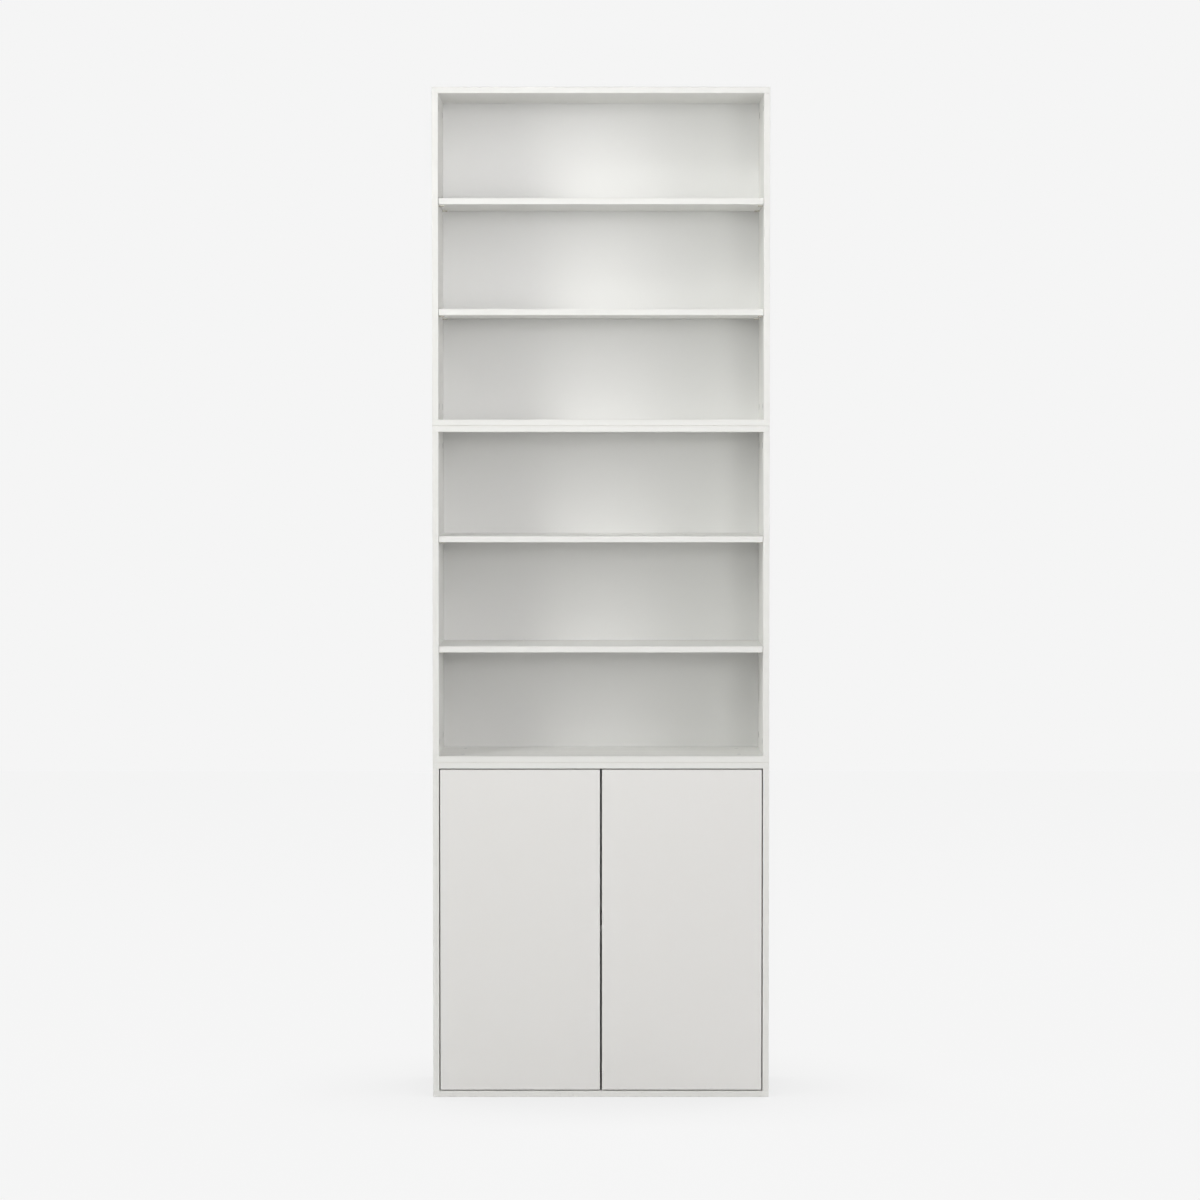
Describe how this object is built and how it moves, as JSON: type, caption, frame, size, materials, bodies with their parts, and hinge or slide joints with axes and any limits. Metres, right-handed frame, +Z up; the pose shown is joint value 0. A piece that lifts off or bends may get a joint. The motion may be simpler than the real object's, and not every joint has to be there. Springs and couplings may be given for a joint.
{
  "type": "bookcase with cabinet doors",
  "caption": "Tall narrow bookcase of stacked equal boxes: open shelves above, a base cabinet closed by a pair of plain inset doors without handles.",
  "frame": {"origin": "middle of the footprint, on the floor", "axes": "+X to the viewer's right, +Y from the open front to the back, +Z up"},
  "size_m": [0.6, 0.24, 1.8],
  "materials": {
    "white_board": "matt white melamine on particle board, white banded edges",
    "back_board": "white lacquered hardboard",
    "nickel_steel": "nickel-plated pressed steel",
    "zinc_steel": "bright zinc-plated steel",
    "zinc": "die-cast zinc, matt",
    "beech": "plain fluted beech",
    "white_plastic": "moulded, fine grain",
    "grey_plastic": "moulded, smooth",
    "magnet": "ferrite, matt"
  },
  "bodies": {
    "case": {"base_box_back_panel": "back_board", "base_box_bottom_panel": "white_board", "base_box_inner_shelf": "white_board", "base_box_left_side": "white_board", "base_box_right_side": "white_board", "base_box_shelf_pins": "nickel_steel", "base_box_top_panel": "white_board", "cam_bolts": "zinc_steel", "cams": "zinc", "dowels": "beech", "left_arm_pins": "nickel_steel", "left_arm_screws": "zinc_steel", "left_case_screws": "zinc_steel", "left_hinge_arms": "nickel_steel", "left_hinge_plates": "nickel_steel", "left_latch_housing": "white_plastic", "middle_box_back_panel": "back_board", "middle_box_bottom_panel": "white_board", "middle_box_left_side": "white_board", "middle_box_lower_shelf": "white_board", "middle_box_right_side": "white_board", "middle_box_shelf_pins": "nickel_steel", "middle_box_top_panel": "white_board", "middle_box_upper_shelf": "white_board", "right_arm_pins": "nickel_steel", "right_arm_screws": "zinc_steel", "right_case_screws": "zinc_steel", "right_hinge_arms": "nickel_steel", "right_hinge_plates": "nickel_steel", "right_latch_housing": "white_plastic", "stacking_screws": "zinc_steel", "top_box_back_panel": "back_board", "top_box_bottom_panel": "white_board", "top_box_left_side": "white_board", "top_box_lower_shelf": "white_board", "top_box_right_side": "white_board", "top_box_shelf_pins": "nickel_steel", "top_box_top_panel": "white_board", "top_box_upper_shelf": "white_board"},
    "left_door": {"left_door": "white_board", "left_hinge_cups": "nickel_steel", "left_cup_pins": "nickel_steel", "left_door_screws": "zinc_steel", "left_strike_plate": "zinc_steel"},
    "left_outer_link": {"left_outer_links": "nickel_steel"},
    "left_inner_link": {"left_inner_links": "nickel_steel"},
    "left_plunger": {"left_latch_plunger": "grey_plastic", "left_latch_magnet": "magnet"},
    "right_door": {"right_door": "white_board", "right_hinge_cups": "nickel_steel", "right_cup_pins": "nickel_steel", "right_door_screws": "zinc_steel", "right_strike_plate": "zinc_steel"},
    "right_outer_link": {"right_outer_links": "nickel_steel"},
    "right_inner_link": {"right_inner_links": "nickel_steel"},
    "right_plunger": {"right_latch_plunger": "grey_plastic", "right_latch_magnet": "magnet"}
  },
  "joints": [
    {"name": "left_outer_link_turn", "type": "hinge", "parent": "case", "child": "left_outer_link", "pos_m": [-0.2589, -0.09185, 0.3], "axis": [0, 0, -1], "range_deg": [-15.7, 0]},
    {"name": "left_door_swing", "type": "hinge", "parent": "left_outer_link", "child": "left_door", "pos_m": [-0.2753, -0.11195, 0.3], "axis": [0, 0, -1], "range_deg": [0, 107.64]},
    {"name": "left_inner_link_turn", "type": "hinge", "parent": "case", "child": "left_inner_link", "pos_m": [-0.2522, -0.1047, 0.3], "axis": [0, 0, -1], "range_deg": [-31.4, 0]},
    {"name": "left_plunger_slide", "type": "slide", "parent": "case", "child": "left_plunger", "axis": [0, -1, 0], "range_m": [0, 0.006]},
    {"name": "right_outer_link_turn", "type": "hinge", "parent": "case", "child": "right_outer_link", "pos_m": [0.2589, -0.09185, 0.3], "axis": [0, 0, 1], "range_deg": [-15.7, 0]},
    {"name": "right_door_swing", "type": "hinge", "parent": "right_outer_link", "child": "right_door", "pos_m": [0.2753, -0.11195, 0.3], "axis": [0, 0, 1], "range_deg": [0, 107.64]},
    {"name": "right_inner_link_turn", "type": "hinge", "parent": "case", "child": "right_inner_link", "pos_m": [0.2522, -0.1047, 0.3], "axis": [0, 0, 1], "range_deg": [-31.4, 0]},
    {"name": "right_plunger_slide", "type": "slide", "parent": "case", "child": "right_plunger", "axis": [0, -1, 0], "range_m": [0, 0.006]}
  ],
  "couplings": [
    {"joint": "left_outer_link_turn", "follows": "left_door_swing", "ratio": -0.1453},
    {"joint": "left_inner_link_turn", "follows": "left_door_swing", "ratio": -0.2906},
    {"joint": "left_plunger_slide", "follows": "left_door_swing", "m_per_rad": 0.003188},
    {"joint": "right_outer_link_turn", "follows": "right_door_swing", "ratio": -0.1453},
    {"joint": "right_inner_link_turn", "follows": "right_door_swing", "ratio": -0.2906},
    {"joint": "right_plunger_slide", "follows": "right_door_swing", "m_per_rad": 0.003188}
  ]
}
